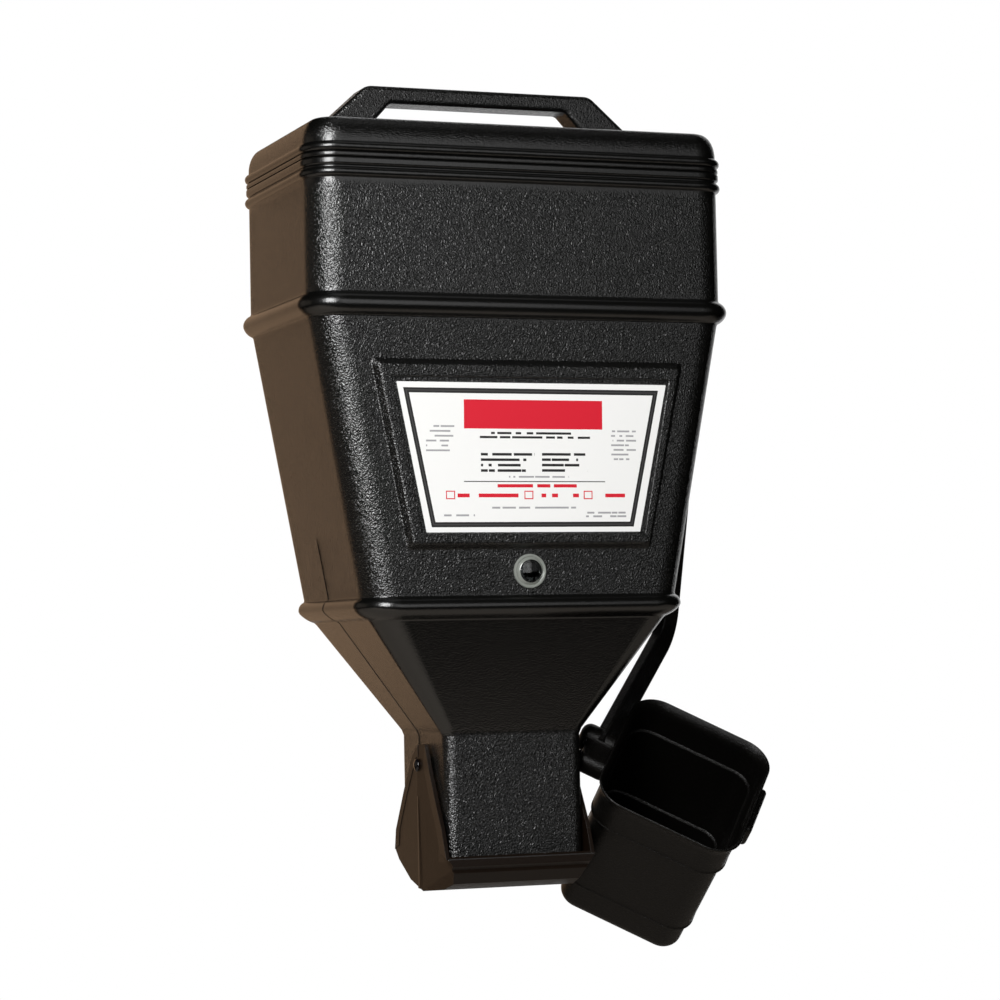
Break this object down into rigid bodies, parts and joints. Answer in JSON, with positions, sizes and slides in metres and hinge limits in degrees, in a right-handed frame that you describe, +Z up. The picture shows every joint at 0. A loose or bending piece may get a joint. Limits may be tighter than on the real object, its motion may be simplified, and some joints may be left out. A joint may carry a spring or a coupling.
{
  "type": "gravity bulk food bin",
  "caption": "Wall-hung gravity bin for bulk food: moulded hopper with lift-off lid, label frame, window, swinging spout gate and a measuring scoop on a side peg.",
  "frame": {"origin": "on the wall plane, at mid width, level with the centre of the upper bead", "axes": "+X to the right seen from the front, +Y into the wall, +Z up"},
  "size_m": [0.4428, 0.2297, 0.7646],
  "materials": {
    "bin_black": "moulded with a fine leather grain",
    "lid_black": "moulded with a fine leather grain",
    "gate_black": "smooth moulded",
    "label_white": "printed card",
    "clear_plastic": "clear polished",
    "pin_black": "satin",
    "washer_white": "natural",
    "steel": "zinc plated",
    "scoop_black": "satin moulded",
    "bar_black": "satin moulded"
  },
  "bodies": {
    "bin": {"hopper": "bin_black", "label_card": "label_white", "window_lens": "clear_plastic", "window_ring": "bin_black", "gate_pin_left": "pin_black", "gate_washer_left": "washer_white", "gate_retainer_left": "steel", "gate_pin_right": "pin_black", "gate_washer_right": "washer_white", "gate_retainer_right": "steel", "hanging_peg": "steel", "peg_washer": "steel", "peg_nut": "steel"},
    "lid": {"lid": "lid_black"},
    "gate": {"gate": "gate_black"},
    "scoop": {"scoop_cup": "scoop_black", "scoop_handle": "bar_black", "handle_screw_front": "steel", "handle_screw_back": "steel"}
  },
  "joints": [
    {"name": "lid_lift", "type": "slide", "parent": "bin", "child": "lid", "axis": [0, 0, 1], "range_m": [0, 0.06]},
    {"name": "gate_swing", "type": "hinge", "parent": "bin", "child": "gate", "pos_m": [0, -0.102, -0.391], "axis": [1, 0, 0], "range_deg": [0, 30]},
    {"name": "scoop_swing", "type": "hinge", "parent": "bin", "child": "scoop", "pos_m": [0.1945, -0.113, -0.075], "axis": [-1, 0, 0], "range_deg": [-1, 35]}
  ]
}
